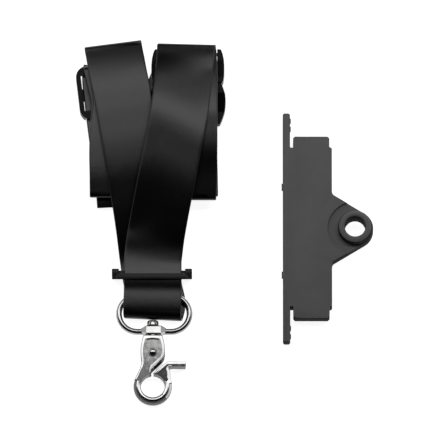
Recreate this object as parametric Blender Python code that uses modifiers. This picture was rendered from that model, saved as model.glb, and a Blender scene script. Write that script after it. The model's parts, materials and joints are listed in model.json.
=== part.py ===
"""Neck lanyard with a swivel trigger hook, folded flat, and the clip-on bracket it hooks to.

The object lies on its back: +Z is up, +Y runs from the hook towards the folded straps.
"""

import math

import bmesh
import bpy
from mathutils import Matrix, Vector

MM = 0.001
GAP = 0.3 * MM

# Driving sizes
WEBBING_WIDTH = 25.0 * MM
WEBBING_THICKNESS = 1.0 * MM
HOOK_MID_Z = 2.7 * MM  # the mid plane of the wire loop and the hook
LANYARD_X = -31.0 * MM  # the line that the hook, loop and keeper share

# Strap keeper: a ladder of three bars with a leg of the strap in each slot
KEEPER_X = -31.4 * MM
KEEPER_Y = -24.0 * MM
KEEPER_LENGTH = 34.8 * MM
KEEPER_THICKNESS = 2.5 * MM
KEEPER_HEIGHT = 8.4 * MM
KEEPER_SLOT_LENGTH = 28.8 * MM
KEEPER_SLOTS_Z = ((1.2 * MM, 2.8 * MM), (5.2 * MM, 6.9 * MM))
KEEPER_FRONT_Y = (-27.3 * MM, -24.1 * MM)
KEEPER_FRONT_LAP = 1.0 * MM  # of the front bar over each end block

# Tri-glide adjuster
GLIDE_CENTRE = Vector((-48.85, 58.9, 0.0)) * MM
GLIDE_TILT = math.radians(6.8)
GLIDE_SIZE = (30.0 * MM, 24.4 * MM)
GLIDE_Z = (1.3 * MM, 5.7 * MM)
GLIDE_STRAP_Z = 3.5 * MM
GLIDE_SLOT = (25.8 * MM, 5.4 * MM)
GLIDE_BAR = 5.4 * MM  # width of the middle bar
GLIDE_CORNER = 5.0 * MM

# Breakaway buckle
BUCKLE_X = -15.9 * MM
BUCKLE_FLOOR = 1.45 * MM
BUCKLE_END_TOP = 5.45 * MM
BUCKLE_MID_TOP = 8.05 * MM
BUCKLE_SPLIT_Y = 61.2 * MM
BUCKLE_BAR_RADIUS = 0.8 * MM
BUCKLE_BAR_Z = 3.3 * MM
FEMALE_BAR_Y = 75.6 * MM
MALE_BAR_Y = 45.1 * MM
BUCKLE_SLOT = 2.6 * MM
TONGUE_SIZE = (15.6 * MM, 9.0 * MM, 2.4 * MM)

# Wire loop of the swivel
LOOP_WIRE_RADIUS = 1.3 * MM
LOOP_END_RADIUS = 8.05 * MM
LOOP_OFFSET = 0.6 * MM  # of the wire's middle from the rivet's line
LOOP_HALF_STRAIGHT = 7.3 * MM
LOOP_CENTRE_Y = -41.55 * MM
BARREL_SIZE = (9.6 * MM, 3.8 * MM, 5.2 * MM)
BARREL_Y = -49.3 * MM
BARREL_BORE = 1.7 * MM

# Swivel rivet
RIVET_SHAFT = 1.4 * MM
RIVET_HEAD = 2.5 * MM
RIVET_HEAD_Y = (-47.1 * MM, -44.6 * MM)
RIVET_FOOT_Y = -54.6 * MM

# Trigger hook
HOOK_RING_Y = -74.4 * MM
HOOK_RING_OUTER = 8.35 * MM
HOOK_RING_INNER = 5.2 * MM
HOOK_THICKNESS = 5.4 * MM
HOOK_TIP_ANGLE = -46.0
PIVOT_RISE = 15.0 * MM  # of the trigger's pivot above the ring's centre
HOOK_TOP_RISE = 22.6 * MM
PIVOT_RADIUS = 1.0 * MM
CHEEK_SLOT = 2.6 * MM
SPRING_WIRE_RADIUS = 0.2 * MM
SPRING_COIL_RADIUS = 1.65 * MM
SPRING_LEG = 1.1 * MM

# Bracket
BRACKET_Y = -3.35 * MM
PLATE_X = (25.4 * MM, 46.8 * MM)
PLATE_HALF = 35.9 * MM
TAB_X = (29.9 * MM, 45.7 * MM)
TAB_HALF = 40.9 * MM
RAIL_X = (25.4 * MM, 28.6 * MM)
RAIL_HALF = 51.4 * MM
BRACKET_HEIGHT = 6.6 * MM
FACE_THICKNESS = 2.2 * MM
WALL_THICKNESS = 1.8 * MM
LUG_X = 56.8 * MM
LUG_DROP = 0.55 * MM  # of the eyelet below the plate's middle
LUG_RADIUS = 7.9 * MM
LUG_ROOT_HALF = 15.0 * MM
LUG_FLOOR = 1.2 * MM
RECESS_RADIUS = 11.9 * MM
RECESS_DEPTH = 0.9 * MM
BUSHING_TOP = 9.6 * MM
BUSHING_FLANGE = 7.4 * MM
BUSHING_SLEEVE = 5.6 * MM
BUSHING_BORE = 4.45 * MM


# ---------------------------------------------------------------- scene and helpers

def clear_scene():
    for old in list(bpy.data.objects):
        bpy.data.objects.remove(old)


def collection(name):
    made = bpy.data.collections.new(name)
    bpy.context.scene.collection.children.link(made)
    return made


clear_scene()
PARTS = collection("lanyard_and_bracket")
CUTTERS = collection("cutters")


def material(name, colour, roughness, metallic=0.0):
    made = bpy.data.materials.new(name)
    made.use_nodes = True
    shader = made.node_tree.nodes["Principled BSDF"]
    shader.inputs["Base Color"].default_value = (*colour, 1.0)
    shader.inputs["Roughness"].default_value = roughness
    shader.inputs["Metallic"].default_value = metallic
    return made


WEBBING = material("webbing", (0.02, 0.02, 0.02), 0.55)
BLACK_PLASTIC = material("black_plastic", (0.02, 0.02, 0.022), 0.4)
BRACKET_PLASTIC = material("bracket_plastic", (0.07, 0.07, 0.072), 0.55)
NICKEL = material("nickel", (0.8, 0.79, 0.77), 0.15, 1.0)
SPRING_STEEL = material("spring_steel", (0.55, 0.55, 0.56), 0.3, 1.0)


def add_part(name, mesh, look, smooth=35):
    """A finished sub-part from its mesh."""
    made = bpy.data.objects.new(name, mesh)
    PARTS.objects.link(made)
    mesh.materials.append(look)
    mesh.shade_smooth()
    mesh.set_sharp_from_angle(angle=math.radians(smooth))
    return made


def add_cutter(mesh, name="cutter"):
    made = bpy.data.objects.new(name, mesh)
    CUTTERS.objects.link(made)
    made.hide_render = True
    made.display_type = "WIRE"
    return made


def mesh_from(bm, name="mesh"):
    bmesh.ops.recalc_face_normals(bm, faces=bm.faces)
    made = bpy.data.meshes.new(name)
    bm.to_mesh(made)
    bm.free()
    return made


def box_mesh(low, high):
    bm = bmesh.new()
    bmesh.ops.create_cube(bm, size=1.0)
    low, high = Vector(low), Vector(high)
    bmesh.ops.scale(bm, vec=high - low, verts=bm.verts)
    bmesh.ops.translate(bm, vec=(low + high) / 2, verts=bm.verts)
    return mesh_from(bm)


def cylinder_mesh(centre, radius, length, axis="Z", sides=32, top_radius=None):
    bm = bmesh.new()
    bmesh.ops.create_cone(
        bm, cap_ends=True, segments=sides, depth=length,
        radius1=radius, radius2=radius if top_radius is None else top_radius,
    )
    turn = {"X": Matrix.Rotation(math.pi / 2, 3, "Y"), "Z": Matrix.Identity(3)}
    turn["Y"] = Matrix.Rotation(-math.pi / 2, 3, "X")
    bmesh.ops.rotate(bm, matrix=turn[axis], verts=bm.verts)
    bmesh.ops.translate(bm, vec=centre, verts=bm.verts)
    return mesh_from(bm)


def from_curve(curve):
    """The welded mesh of a curve, which is then removed."""
    guide = bpy.data.objects.new("guide", curve)
    CUTTERS.objects.link(guide)
    bpy.context.view_layer.update()
    evaluated = guide.evaluated_get(bpy.context.evaluated_depsgraph_get())
    made = bpy.data.meshes.new_from_object(evaluated)
    made.transform(guide.matrix_world)
    bpy.data.objects.remove(guide)
    bm = bmesh.new()
    bm.from_mesh(made)
    bmesh.ops.remove_doubles(bm, verts=bm.verts, dist=0.002 * MM)
    bmesh.ops.recalc_face_normals(bm, faces=bm.faces)
    bm.to_mesh(made)
    bm.free()
    return made


def prism_mesh(outline, z_low, z_high):
    """A flat outline, in the XY plane, made into a solid between two heights."""
    curve = bpy.data.curves.new("outline", "CURVE")
    curve.dimensions = "2D"
    curve.fill_mode = "BOTH"
    curve.extrude = (z_high - z_low) / 2
    spline = curve.splines.new("POLY")
    spline.points.add(len(outline) - 1)
    for point, (x, y) in zip(spline.points, outline):
        point.co = (x, y, 0.0, 1.0)
    spline.use_cyclic_u = True
    made = from_curve(curve)
    made.transform(Matrix.Translation((0, 0, (z_low + z_high) / 2)))
    return made


def tube_mesh(points, radius, resolution=2, closed=False):
    curve = bpy.data.curves.new("tube", "CURVE")
    curve.dimensions = "3D"
    curve.bevel_depth = radius
    curve.bevel_resolution = resolution
    curve.use_fill_caps = not closed
    spline = curve.splines.new("POLY")
    spline.points.add(len(points) - 1)
    for point, place in zip(spline.points, points):
        point.co = (*place, 1.0)
    spline.use_cyclic_u = closed
    return from_curve(curve)


def arc(centre, radius, start, end, steps):
    """Points on an arc, from one angle to another in degrees."""
    angles = [math.radians(start + (end - start) * i / steps) for i in range(steps + 1)]
    return [(centre[0] + radius * math.cos(a), centre[1] + radius * math.sin(a)) for a in angles]


def boolean(target, cutter_mesh, operation="DIFFERENCE", solver="EXACT"):
    """Cuts or joins a mesh given in the target's own frame, and keeps it with the target."""
    cutter = add_cutter(cutter_mesh)
    cutter.parent = target
    modifier = target.modifiers.new(operation.lower(), "BOOLEAN")
    modifier.operation = operation
    modifier.solver = solver
    modifier.object = cutter


def sure_boolean(target, cutter_mesh, operation="DIFFERENCE"):
    """For bevelled bodies, where the exact solver can leave gaps at close corners."""
    boolean(target, cutter_mesh, operation, solver="MANIFOLD")


def bevel(target, width, segments=2, angle=40):
    modifier = target.modifiers.new("bevel", "BEVEL")
    modifier.width = width
    modifier.segments = segments
    modifier.limit_method = "ANGLE"
    modifier.angle_limit = math.radians(angle)


# ---------------------------------------------------------------- webbing

def direction(lean_degrees):
    """A unit vector in the XY plane: 0 points along +Y, and positive leans to -X."""
    a = math.radians(lean_degrees)
    return Vector((-math.sin(a), math.cos(a), 0.0))


def fold(start, end, outward, steps=8):
    """Stations round a fold, from start to end, which lie one above the other."""
    radius = abs(end.z - start.z) / 2
    stations = []
    for i in range(steps + 1):
        angle = math.pi * i / steps
        place = start.lerp(end, (1 - math.cos(angle)) / 2)
        stations.append((place + outward * radius * math.sin(angle), outward))
    return stations


def webbing_mesh(runs, folds):
    """A strap of even width that follows runs (lists of points) joined by folds.

    folds[i] is the outward direction of the fold between runs i and i + 1.
    """
    stations = []
    for i, run in enumerate(runs):
        points = [Vector(p) * MM for p in run]
        first = 1 if i > 0 else 0
        last = len(points) - 1 if i < len(folds) else len(points)
        stations += [(p, None) for p in points[first:last]]
        if i < len(folds):
            following = Vector(runs[i + 1][0]) * MM
            stations += fold(points[-1], following, folds[i])
    places = [place for place, _ in stations]
    bm = bmesh.new()
    rings = []
    for i, (place, outward) in enumerate(stations):
        along = places[min(i + 1, len(places) - 1)] - places[max(i - 1, 0)]
        heading = outward if outward is not None else Vector((along.x, along.y, 0.0)).normalized()
        across = Vector((heading.y, -heading.x, 0.0))
        # the strap keeps one hand all along, so a fold doesn't twist it over
        if rings and across.dot(rings[-1][1]) < 0:
            across.negate()
        normal = across.cross(along).normalized() * WEBBING_THICKNESS / 2
        side = across * WEBBING_WIDTH / 2
        corners = [place - side - normal, place + side - normal,
                   place + side + normal, place - side + normal]
        rings.append(([bm.verts.new(c) for c in corners], across))
    for (near, _), (far, _) in zip(rings, rings[1:]):
        for a in range(4):
            b = (a + 1) % 4
            bm.faces.new((near[a], near[b], far[b], far[a]))
    bm.faces.new(rings[0][0])
    bm.faces.new(rings[-1][0])
    return mesh_from(bm, "neck_webbing")


def neck_webbing():
    """One length of webbing, from the female buckle half round to the male one, in millimetres."""
    tail_in_slot = [(-15.9, 73.9, 3.5), (-15.9, 74.5, 4.75), (-15.9, 75.5, 4.95)]
    under_all = [(-15.9, 75.5, 0.5), (-17.5, 71.0, 0.5), (-29.6, 40.0, 0.5), (-41.6, 10.0, 0.5),
                 (-42.8, 7.2, 0.5)]
    left_up = [(-42.8, 7.2, 2.0), (-43.0, 10.0, 2.0), (-44.5, 24.0, 2.9), (-45.65, 32.0, 3.5),
               (-48.6, 56.8, 3.5), (-50.25, 70.6, 3.5)]
    left_back = [(-50.25, 70.6, 6.5), (-49.9, 68.5, 6.5), (-47.2, 50.0, 6.5), (-46.6, 30.0, 6.4),
                 (-46.2, 20.0, 4.9), (-46.0, 11.4, 3.35)]
    left_again = [(-46.0, 11.4, 4.7), (-46.2, 20.0, 6.25), (-46.7, 30.0, 7.6), (-47.2, 50.0, 7.8),
                  (-48.1, 71.0, 7.75), (-48.4, 77.9, 6.0)]
    left_leg = [(-48.4, 77.9, 8.2), (-47.49, 72.3, 9.0), (-46.8, 68.4, 9.45), (-46.08, 64.7, 9.76),
                (-45.37, 61.0, 9.94), (-44.68, 57.4, 9.97), (-44.04, 53.8, 9.92), (-43.38, 50.1, 9.86),
                (-42.75, 46.5, 9.75), (-42.11, 42.9, 9.62), (-41.48, 39.3, 9.49), (-40.88, 35.7, 9.33),
                (-40.28, 32.1, 9.12), (-39.7, 28.6, 8.88), (-39.12, 25.1, 8.6), (-38.55, 21.7, 8.27),
                (-37.97, 18.2, 7.84), (-37.41, 14.8, 7.36), (-36.88, 11.5, 6.9), (-36.0, 6.0, 6.1),
                (-34.4, -5.0, 4.2), (-33.0, -16.0, 2.1), (-31.7, -24.5, 2.0), (-30.9, -28.6, 1.6),
                (-30.4, -31.0, 0.62), (-29.3, -36.5, 0.62), (-30.5, -40.8, 0.62)]
    right_leg = [(-31.35, -40.8, 6.0), (-31.25, -37.0, 6.35), (-31.1, -31.0, 6.35),
                 (-31.05, -29.6, 6.05), (-31.0, -24.0, 6.05), (-31.0, -18.25, 6.15),
                 (-30.48, -13.8, 6.5), (-29.96, -9.4, 7.05), (-29.25, -5.0, 7.77), (-28.46, -0.7, 8.58),
                 (-27.67, 3.6, 9.43), (-26.84, 7.8, 10.27), (-25.96, 12.2, 11.1), (-25.14, 16.5, 11.83),
                 (-24.34, 20.8, 12.43), (-23.54, 25.1, 12.9), (-22.71, 29.5, 13.3),
                 (-21.87, 33.9, 13.7), (-21.03, 38.3, 14.08), (-20.25, 42.8, 14.33),
                 (-19.51, 47.3, 14.3), (-18.96, 51.9, 13.98), (-18.45, 56.5, 13.5),
                 (-17.98, 61.2, 12.95), (-17.51, 65.9, 12.38), (-17.04, 70.6, 11.75),
                 (-16.8, 77.2, 10.8)]
    right_back = [(-16.2, 77.2, 9.45), (-16.0, 71.0, 10.35), (-15.9, 64.0, 11.35), (-15.8, 56.0, 12.2),
                  (-15.8, 48.0, 12.6), (-15.8, 42.0, 12.3), (-15.8, 30.0, 10.4), (-15.9, 20.0, 7.2),
                  (-16.0, 10.4, 6.05)]
    right_up = [(-16.0, 10.4, 4.7), (-16.0, 20.0, 5.6), (-15.9, 30.0, 8.4), (-15.8, 42.0, 10.8),
                (-15.8, 48.0, 11.2), (-15.8, 56.0, 10.9), (-15.9, 64.0, 10.1), (-16.0, 71.0, 8.95),
                (-16.1, 76.0, 7.9)]
    right_down = [(-16.1, 76.0, 6.55), (-16.0, 71.5, 7.4), (-15.9, 64.5, 8.85), (-15.9, 48.0, 9.0),
                  (-15.8, 42.0, 8.9), (-15.6, 32.0, 6.5), (-15.4, 20.0, 4.0), (-15.2, 12.6, 3.35)]
    into_male = [(-15.2, 12.6, 2.0), (-15.3, 20.0, 1.95), (-15.8, 38.0, 1.7), (-15.9, 45.1, 1.7)]
    tail = [(-15.9, 45.1, 4.95), (-15.9, 41.0, 4.6), (-15.9, 34.0, 3.4)]
    runs = [tail_in_slot, under_all, left_up, left_back, left_again, left_leg,
            right_leg, right_back, right_up, right_down, into_male, tail]
    leans = (0, 173, 8, 180, 7.6, 178.4, -1.6, 180, 0, 180, 0)
    folds = [direction(lean) for lean in leans]
    return add_part("neck_webbing", webbing_mesh(runs, folds), WEBBING, smooth=60)


# ---------------------------------------------------------------- sliders and buckle

def strap_keeper():
    """Three bars between two end blocks. The front bar stands out on the hook's side."""
    half, thick = KEEPER_LENGTH / 2, KEEPER_THICKNESS / 2
    slot = KEEPER_SLOT_LENGTH / 2
    keeper = add_part(
        "strap_keeper",
        box_mesh((-half, -thick, 0), (half, thick, KEEPER_HEIGHT)),
        BLACK_PLASTIC,
    )
    for low, high in KEEPER_SLOTS_Z:
        sure_boolean(keeper, box_mesh((-slot, -2 * thick, low), (slot, 2 * thick, high)))
    bar_low, bar_high = (y - KEEPER_Y for y in KEEPER_FRONT_Y)
    under = KEEPER_SLOTS_Z[1][1]
    sure_boolean(keeper, box_mesh((-slot, bar_high, under - GAP), (slot, 2 * thick, 2 * KEEPER_HEIGHT)))
    reach = slot + KEEPER_FRONT_LAP
    sure_boolean(keeper, box_mesh((-reach, bar_low, under), (reach, bar_high + GAP, KEEPER_HEIGHT)), "UNION")
    bevel(keeper, 0.3 * MM, angle=60)
    keeper.location = (KEEPER_X, KEEPER_Y, 0)
    return keeper


def rounded_rectangle(width, height, radius, steps=6):
    x, y = width / 2 - radius, height / 2 - radius
    return (arc((x, -y), radius, -90, 0, steps) + arc((x, y), radius, 0, 90, steps)
            + arc((-x, y), radius, 90, 180, steps) + arc((-x, -y), radius, 180, 270, steps))


def tri_glide():
    """The strap runs straight through: over the low middle bar and under the two high outer ones."""
    width, height = GLIDE_SIZE
    low, high = GLIDE_Z
    frame = prism_mesh(rounded_rectangle(width, height, GLIDE_CORNER), low, high)
    slider = add_part("tri_glide", frame, BLACK_PLASTIC)
    bevel(slider, 0.7 * MM)
    slot_x, slot_y = GLIDE_SLOT[0] / 2, GLIDE_SLOT[1]
    near, far = GLIDE_BAR / 2, GLIDE_BAR / 2 + slot_y
    for side in (-1, 1):
        y_low, y_high = sorted((side * near, side * far))
        boolean(slider, box_mesh((-slot_x, y_low, 0), (slot_x, y_high, 2 * high)))
    half_strap = WEBBING_THICKNESS / 2 + GAP
    above, below = GLIDE_STRAP_Z + half_strap, GLIDE_STRAP_Z - half_strap
    boolean(slider, box_mesh((-slot_x, -near - GAP, below), (slot_x, near + GAP, 2 * high)))
    for side in (-1, 1):
        y_low, y_high = sorted((side * (far - GAP), side * height))
        boolean(slider, box_mesh((-slot_x, y_low, 0), (slot_x, y_high, above)))
    slider.matrix_world = Matrix.Translation(GLIDE_CENTRE) @ Matrix.Rotation(GLIDE_TILT, 4, "Z")
    return slider


def lobe_outline(half_widths):
    """A closed outline, mirrored about x = 0, from (y, half width) pairs in millimetres."""
    right = [(w * MM, y * MM) for y, w in half_widths]
    return right + [(-x, y) for x, y in reversed(right)]


def wedge_mesh(profile, half_length):
    """A prism along X from a side profile of (y, z) points."""
    made = prism_mesh(profile, -half_length, half_length)
    made.transform(Matrix(((0, 0, 1, 0), (1, 0, 0, 0), (0, 1, 0, 0), (0, 0, 0, 1))))
    return made


def buckle_body(name, outline, profile):
    half = prism_mesh(lobe_outline(outline), BUCKLE_FLOOR, BUCKLE_MID_TOP + MM)
    body = add_part(name, half, BLACK_PLASTIC)
    sure_boolean(body, wedge_mesh([(y * MM, z) for y, z in profile], 30 * MM), "INTERSECT")
    bevel(body, 0.6 * MM, angle=50)
    return body


def webbing_bar(body, bar_y, outward):
    """Opens the end of a buckle half for the webbing and puts the bar across it."""
    half = WEBBING_WIDTH / 2 + GAP
    inner = bar_y - outward * (BUCKLE_BAR_RADIUS + BUCKLE_SLOT)
    low, high = sorted((inner, bar_y + outward * 10 * MM))
    sure_boolean(body, box_mesh((-half, low, 0), (half, high, 20 * MM)))
    sure_boolean(body, cylinder_mesh(
        (0, bar_y, BUCKLE_BAR_Z), BUCKLE_BAR_RADIUS, 2 * half + 1.6 * MM, axis="X", sides=16), "UNION")


def buckle_female():
    outline = [(61.4, 14.9), (63.0, 15.5), (66.0, 15.9), (70.0, 15.9), (73.0, 15.7),
               (75.5, 15.2), (77.2, 14.6), (77.6, 14.2)]
    profile = [(60, 0), (80, 0), (80, BUCKLE_END_TOP), (72.5, BUCKLE_END_TOP),
               (64.0, BUCKLE_MID_TOP), (60, BUCKLE_MID_TOP)]
    body = buckle_body("buckle_female", outline, profile)
    webbing_bar(body, FEMALE_BAR_Y, 1)
    width, length, height = TONGUE_SIZE
    middle = (BUCKLE_FLOOR + BUCKLE_END_TOP) / 2
    sure_boolean(body, box_mesh(
        (-width / 2 - GAP, BUCKLE_SPLIT_Y - MM, middle - height / 2 - GAP),
        (width / 2 + GAP, BUCKLE_SPLIT_Y + length + GAP, middle + height / 2 + GAP)))
    body.location.x = BUCKLE_X
    return body


def buckle_male():
    outline = [(43.4, 13.7), (44.0, 14.2), (46.0, 15.0), (49.0, 16.0), (52.0, 16.45), (54.0, 16.5),
               (56.5, 16.3), (59.0, 15.5), (60.6, 14.9), (61.0, 14.7)]
    profile = [(40, 0), (62, 0), (62, BUCKLE_MID_TOP), (57.0, BUCKLE_MID_TOP),
               (49.0, BUCKLE_END_TOP), (40, BUCKLE_END_TOP)]
    body = buckle_body("buckle_male", outline, profile)
    webbing_bar(body, MALE_BAR_Y, -1)
    width, length, height = TONGUE_SIZE
    middle = (BUCKLE_FLOOR + BUCKLE_END_TOP) / 2
    sure_boolean(body, box_mesh(
        (-width / 2, BUCKLE_SPLIT_Y - 3 * MM, middle - height / 2),
        (width / 2, BUCKLE_SPLIT_Y + length, middle + height / 2)), "UNION")
    body.location.x = BUCKLE_X
    return body


# ---------------------------------------------------------------- swivel and hook

def swivel_loop():
    """An oval of wire with a bored barrel in its lower side."""
    straight, radius = LOOP_HALF_STRAIGHT, LOOP_END_RADIUS
    path = (arc((LOOP_OFFSET + straight, 0), radius, -90, 90, 14)
            + arc((LOOP_OFFSET - straight, 0), radius, 90, 270, 14))
    mesh = tube_mesh([(x, y, 0) for x, y in path], LOOP_WIRE_RADIUS, resolution=4, closed=True)
    loop = add_part("swivel_loop", mesh, NICKEL)
    width, length, height = BARREL_SIZE
    barrel = cylinder_mesh((0, 0, 0), 0.5, 1.0, axis="Y", sides=28)
    barrel.transform(Matrix.Diagonal((width, length, height, 1)))
    barrel.transform(Matrix.Translation((0, BARREL_Y - LOOP_CENTRE_Y, 0)))
    boolean(loop, barrel, "UNION")
    bore = cylinder_mesh((0, BARREL_Y - LOOP_CENTRE_Y, 0), BARREL_BORE, 2 * length, axis="Y", sides=24)
    boolean(loop, bore)
    loop.location = (LANYARD_X, LOOP_CENTRE_Y, HOOK_MID_Z)
    return loop


def turned_mesh(profile, steps=32):
    """A solid of revolution about Y from (radius, y) points, both ends on the axis."""
    bm = bmesh.new()
    edge = [bm.verts.new((r, y, 0.0)) for r, y in profile]
    for a, b in zip(edge, edge[1:]):
        bm.edges.new((a, b))
    bmesh.ops.spin(
        bm, geom=bm.verts[:] + bm.edges[:], cent=(0, 0, 0), axis=(0, 1, 0),
        angle=2 * math.pi, steps=steps, use_merge=True, use_duplicate=False)
    bmesh.ops.remove_doubles(bm, verts=bm.verts, dist=0.001 * MM)
    return mesh_from(bm, "turned")


def swivel_rivet():
    """A round-headed rivet that the loop turns on. Its foot is fixed in the hook's neck."""
    low, high = RIVET_HEAD_Y
    profile = [
        (0, RIVET_FOOT_Y), (RIVET_SHAFT, RIVET_FOOT_Y), (RIVET_SHAFT, low), (RIVET_HEAD * 0.96, low),
        (RIVET_HEAD, low + 0.3 * MM), (RIVET_HEAD, high - 0.8 * MM), (RIVET_HEAD * 0.8, high - 0.25 * MM),
        (RIVET_HEAD * 0.45, high - 0.03 * MM), (0, high),
    ]
    rivet = add_part("swivel_rivet", turned_mesh(profile, 24), NICKEL)
    rivet.location = (LANYARD_X, 0, HOOK_MID_Z)
    return rivet


def hook_outline():
    """The fixed side of the hook: neck, body and the ring as far as its tip, about the ring's centre."""
    ring_outer = arc((0, 0), HOOK_RING_OUTER, 146, 360 + HOOK_TIP_ANGLE, 26)
    ring_inner = arc((0, 0), HOOK_RING_INNER, 360 + HOOK_TIP_ANGLE, 97, 24)
    left = [(-4.1, 22.6), (-4.5, 21.0), (-5.1, 18.5), (-5.3, 16.3), (-5.25, 13.5), (-4.95, 11.2),
            (-5.0, 9.6), (-5.5, 7.8), (-6.2, 6.3)]
    right = [(-0.7, 6.6), (4.3, 11.6), (4.95, 12.6), (5.25, 14.2), (5.3, 16.3), (5.1, 18.5),
             (4.5, 21.0), (4.1, 22.6)]
    return ([(x * MM, y * MM) for x, y in left] + ring_outer + ring_inner
            + [(x * MM, y * MM) for x, y in right])


def fan(centre, radius, start, end, steps=10):
    return [centre] + arc(centre, radius, start, end, steps)


def hook_body():
    half = HOOK_THICKNESS / 2
    hook = add_part("hook_body", prism_mesh(hook_outline(), -half, half), NICKEL)
    bevel(hook, 0.8 * MM, segments=2, angle=50)
    pivot = (0.0, PIVOT_RISE)
    slot = CHEEK_SLOT / 2
    sure_boolean(hook, prism_mesh(fan(pivot, 11 * MM, -98, 10), -slot, slot))
    sure_boolean(hook, cylinder_mesh((*pivot, 0), 3.5 * MM, CHEEK_SLOT, sides=28))
    for side in (-1, 1):
        low, high = sorted((side * (half - 0.5 * MM), side * (half + MM)))
        sure_boolean(hook, prism_mesh(
            [(x * MM, y * MM) for x, y in ((-3.3, 8.6), (0.2, 8.6), (3.6, 12.3), (4.0, 14.5),
                                          (4.0, 16.3), (3.0, 20.6), (-3.0, 20.6), (-4.0, 16.3),
                                          (-3.9, 13.0))], low, high))
    sure_boolean(hook, cylinder_mesh((*pivot, 0), PIVOT_RADIUS + 0.1 * MM, 3 * half, sides=24))
    foot = RIVET_FOOT_Y - HOOK_RING_Y
    depth = HOOK_TOP_RISE - foot + 2 * MM
    sure_boolean(hook, cylinder_mesh(
        (0, foot + depth / 2 - 0.1 * MM, 0), RIVET_SHAFT + 0.12 * MM, depth, axis="Y", sides=24))
    hook.location = (LANYARD_X, HOOK_RING_Y, HOOK_MID_Z)
    return hook


def trigger():
    """The sprung gate and its thumb lever, with a tongue that runs back to the pivot."""
    start = HOOK_TIP_ANGLE + 2.5
    gate_outer = arc((0, 0), HOOK_RING_OUTER, start, 22, 10)
    gate_inner = arc((0, 0), HOOK_RING_INNER, 88, start, 18)
    lever = [(7.45, 6.2), (6.9, 7.4), (7.2, 8.3), (8.2, 8.65), (14.2, 8.5), (14.35, 9.6), (14.2, 10.9),
             (6.4, 11.1), (5.8, 10.8), (0.6, 6.0), (0.25, 5.6)]
    outline = gate_outer + [(x * MM, y * MM) for x, y in lever] + gate_inner
    half = HOOK_THICKNESS / 2 - 0.1 * MM
    gate = add_part("trigger", prism_mesh(outline, -half, half), NICKEL)
    bevel(gate, 0.7 * MM, segments=2, angle=50)
    pivot = Vector((0.0, PIVOT_RISE))
    low, high = -CHEEK_SLOT / 2 + 0.2 * MM, 0.1 * MM
    reach = Vector((4.0, 7.2)) * MM
    side = (reach - pivot).orthogonal().normalized() * 1.8 * MM
    tongue = [pivot + side, pivot - side, reach - side, reach + side]
    sure_boolean(gate, prism_mesh([tuple(p) for p in tongue], low, high), "UNION")
    sure_boolean(gate, cylinder_mesh(
        (*pivot, (low + high) / 2), 2.5 * MM, high - low, sides=28), "UNION")
    sure_boolean(gate, cylinder_mesh((*pivot, 0), PIVOT_RADIUS + 0.1 * MM, 10 * MM, sides=24))
    gate.location = (LANYARD_X, HOOK_RING_Y, HOOK_MID_Z)
    return gate


def trigger_rivet():
    """A domed pin through both cheeks of the hook."""
    face = HOOK_THICKNESS / 2 - 0.5 * MM
    profile = [
        (0, -face - 0.35 * MM), (1.5 * MM, -face - 0.35 * MM), (1.7 * MM, -face - 0.1 * MM),
        (PIVOT_RADIUS, -face - 0.1 * MM), (PIVOT_RADIUS, face + 0.1 * MM),
        (1.85 * MM, face + 0.1 * MM), (1.8 * MM, face + 0.5 * MM), (1.4 * MM, face + 0.95 * MM),
        (0.75 * MM, face + 1.2 * MM), (0, face + 1.28 * MM),
    ]
    mesh = turned_mesh(profile, 24)
    mesh.transform(Matrix.Rotation(math.pi / 2, 4, "X"))
    rivet = add_part("trigger_rivet", mesh, NICKEL)
    rivet.location = (LANYARD_X, HOOK_RING_Y + PIVOT_RISE, HOOK_MID_Z)
    return rivet


def trigger_spring():
    """Two turns of wire round the pivot, above the tongue, with a leg against the hook's neck."""
    wire, coil = SPRING_WIRE_RADIUS, SPRING_COIL_RADIUS
    turns, per_turn = 1.75, 16
    start_z, end_z = 0.38 * MM, 1.05 * MM
    steps = int(turns * per_turn)
    points = []
    for i in range(steps + 1):
        share = i / steps
        angle = math.radians(60) + share * turns * 2 * math.pi
        points.append((coil * math.cos(angle), coil * math.sin(angle),
                       start_z + (end_z - start_z) * share))
    end = Vector(points[-1])
    points.append(tuple(end + (end - Vector(points[-2])).normalized() * SPRING_LEG))
    spring = add_part("trigger_spring", tube_mesh(points, wire, resolution=2), SPRING_STEEL)
    spring.location = (LANYARD_X, HOOK_RING_Y + PIVOT_RISE, HOOK_MID_Z)
    return spring


# ---------------------------------------------------------------- bracket

def bracket_outline():
    """Rail, plate, end tabs and lug seen from above, about the bracket's middle."""
    upper = [
        (PLATE_X[1], PLATE_HALF - 0.5 * MM), (PLATE_X[1] - 0.4 * MM, PLATE_HALF),
        (TAB_X[1], PLATE_HALF + 0.2 * MM), (TAB_X[1], TAB_HALF - 0.8 * MM),
        (TAB_X[1] - 0.8 * MM, TAB_HALF), (TAB_X[0] + 0.8 * MM, TAB_HALF),
        (TAB_X[0], TAB_HALF - 0.8 * MM), (TAB_X[0], PLATE_HALF), (RAIL_X[1], PLATE_HALF),
        (RAIL_X[1], RAIL_HALF - 0.6 * MM), (RAIL_X[1] - 0.6 * MM, RAIL_HALF),
        (RAIL_X[0] + 0.6 * MM, RAIL_HALF), (RAIL_X[0], RAIL_HALF - 0.6 * MM),
    ]
    root = Vector((PLATE_X[1], LUG_ROOT_HALF))
    away = root - Vector((LUG_X, 0.0))
    tangent = math.degrees(math.atan2(away.y, away.x) - math.acos(LUG_RADIUS / away.length))
    lug = arc((LUG_X, -LUG_DROP), LUG_RADIUS, -tangent, tangent, 20)
    fillet = [(PLATE_X[1], LUG_ROOT_HALF + 1.2 * MM), (PLATE_X[1] + 0.5 * MM, LUG_ROOT_HALF + 0.1 * MM)]
    return ([(x, -y) for x, y in reversed(upper)] + [(x, -y - LUG_DROP) for x, y in fillet] + lug
            + [(x, y - LUG_DROP) for x, y in reversed(fillet)] + upper)


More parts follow.
